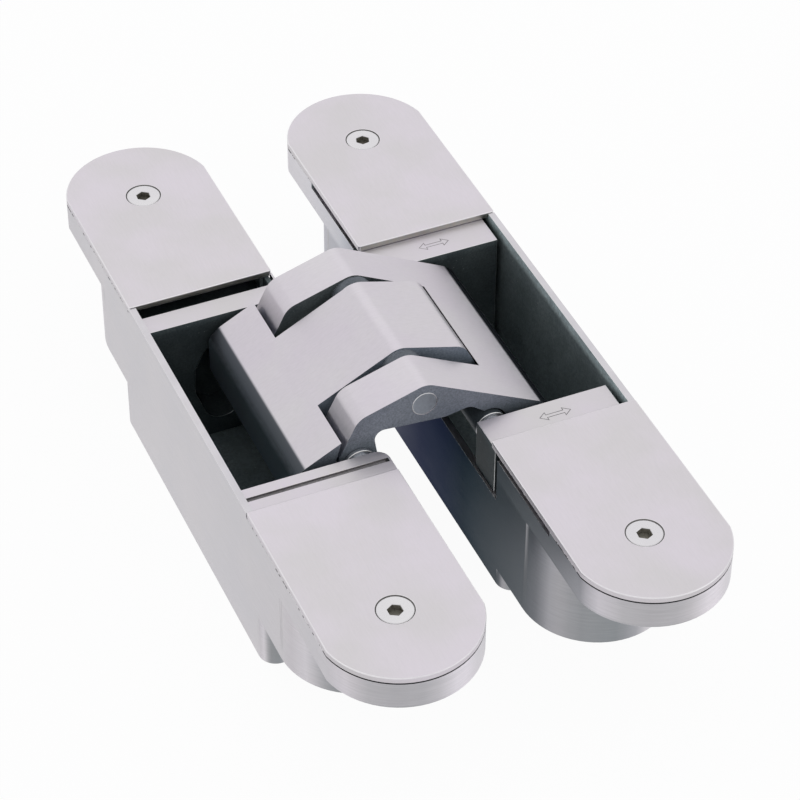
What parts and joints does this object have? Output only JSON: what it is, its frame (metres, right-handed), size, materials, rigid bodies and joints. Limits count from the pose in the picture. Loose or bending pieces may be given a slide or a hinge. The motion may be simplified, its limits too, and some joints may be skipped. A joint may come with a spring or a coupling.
{
  "type": "concealed door hinge",
  "caption": "Concealed door hinge opened flat: recessed cast halves with rounded cover plates joined by crossed arms that fold into both pockets.",
  "frame": {"origin": "under the middle of the hinge, level with the bottoms of both recessed cases, with the hinge opened flat", "axes": "+X across from the left half to the right half, +Y along the hinge's length, +Z out of the faces"},
  "size_m": [0.092, 0.19, 0.0499],
  "materials": {
    "case_metal": "satin cast metal",
    "cover_steel": "fine satin",
    "screw_steel": "turned bright",
    "block_metal": "satin cast metal",
    "arm_metal": "satin cast metal",
    "pin_steel": "ground bright",
    "bush_plastic": "smooth"
  },
  "bodies": {
    "left_case": {"case_left": "case_metal", "cover_left_near": "cover_steel", "cover_left_far": "cover_steel", "cover_screws_left": "screw_steel"},
    "left_carriage": {"block_left_near": "block_metal", "block_left_far": "block_metal", "pivot_pins_left": "pin_steel"},
    "fork": {"fork_arm": "arm_metal", "cross_pin": "pin_steel", "thrust_washers": "pin_steel", "heel_pin_right": "pin_steel", "heel_bushes_right": "bush_plastic"},
    "tongue": {"tongue_arm": "arm_metal", "heel_pin_left": "pin_steel", "heel_bushes_left": "bush_plastic"},
    "right_carriage": {"block_right_near": "block_metal", "block_right_far": "block_metal", "pivot_pin_right": "pin_steel", "pivot_sleeves_right": "pin_steel"},
    "right_case": {"case_right": "case_metal", "cover_right_near": "cover_steel", "cover_right_far": "cover_steel", "cover_screws_right": "screw_steel"}
  },
  "joints": [
    {"name": "height_slide", "type": "slide", "parent": "left_case", "child": "left_carriage", "axis": [0, 1, 0], "range_m": [-0.0015, 0.0015]},
    {"name": "fork_pivot", "type": "hinge", "parent": "left_carriage", "child": "fork", "pos_m": [-0.0157, 0, 0.0338], "axis": [0, -1, 0], "range_deg": [0, 117.99]},
    {"name": "arm_crossing", "type": "hinge", "parent": "fork", "child": "tongue", "pos_m": [0, 0, 0.0448], "axis": [0, -1, 0], "range_deg": [-56.01, 0]},
    {"name": "tongue_pivot", "type": "hinge", "parent": "tongue", "child": "right_carriage", "pos_m": [0.0157, 0, 0.0338], "axis": [0, -1, 0], "range_deg": [0, 118.01]},
    {"name": "side_slide", "type": "slide", "parent": "right_carriage", "child": "right_case", "axis": [1, 0, 0], "range_m": [-0.0012, 0.0012]}
  ],
  "couplings": [
    {"joint": "arm_crossing", "follows": "fork_pivot", "ratio": -0.4745},
    {"joint": "tongue_pivot", "follows": "fork_pivot", "ratio": 1}
  ]
}
